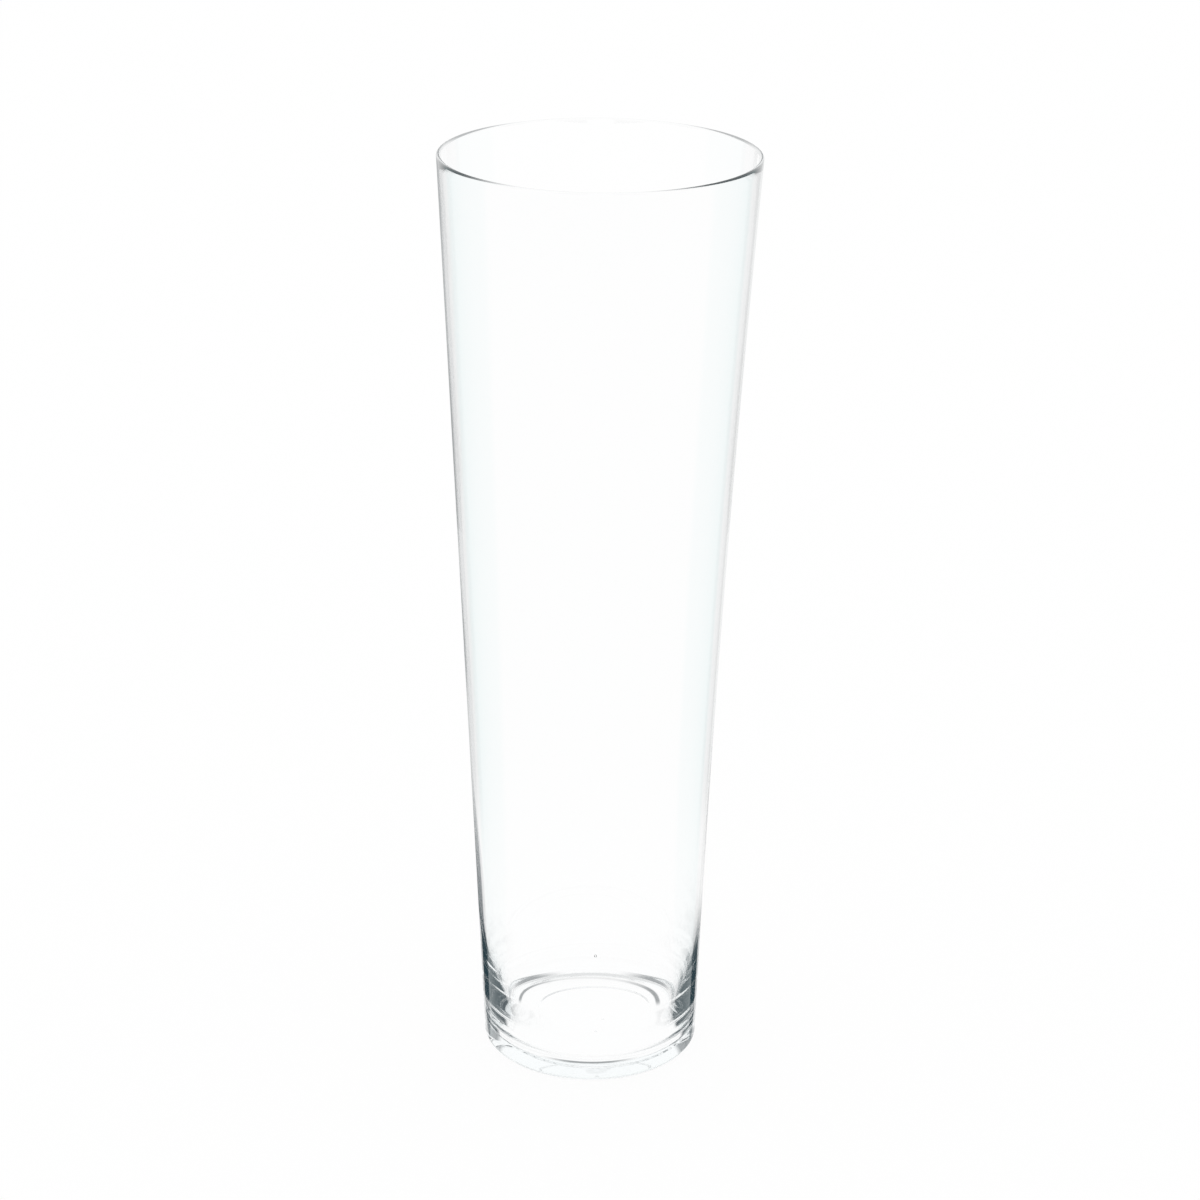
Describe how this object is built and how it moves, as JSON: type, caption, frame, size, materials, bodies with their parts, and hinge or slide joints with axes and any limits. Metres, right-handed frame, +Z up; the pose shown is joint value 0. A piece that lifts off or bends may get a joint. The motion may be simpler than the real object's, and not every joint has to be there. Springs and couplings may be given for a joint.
{
  "type": "conical vase",
  "caption": "Tall clear glass vase with a narrow foot, a slowly widening round wall, a thick base and a rounded lip, for long-stemmed flowers.",
  "frame": {"origin": "on the table, under the centre of the foot", "axes": "+Z up along the vase's axis of revolution, from the foot to the mouth"},
  "size_m": [0.1648, 0.1648, 0.5],
  "materials": {
    "clear_glass": "colourless blown glass, polished all over, with a faint cool tint where it is thick"
  },
  "bodies": {
    "root": {"vase": "clear_glass"}
  },
  "joints": []
}
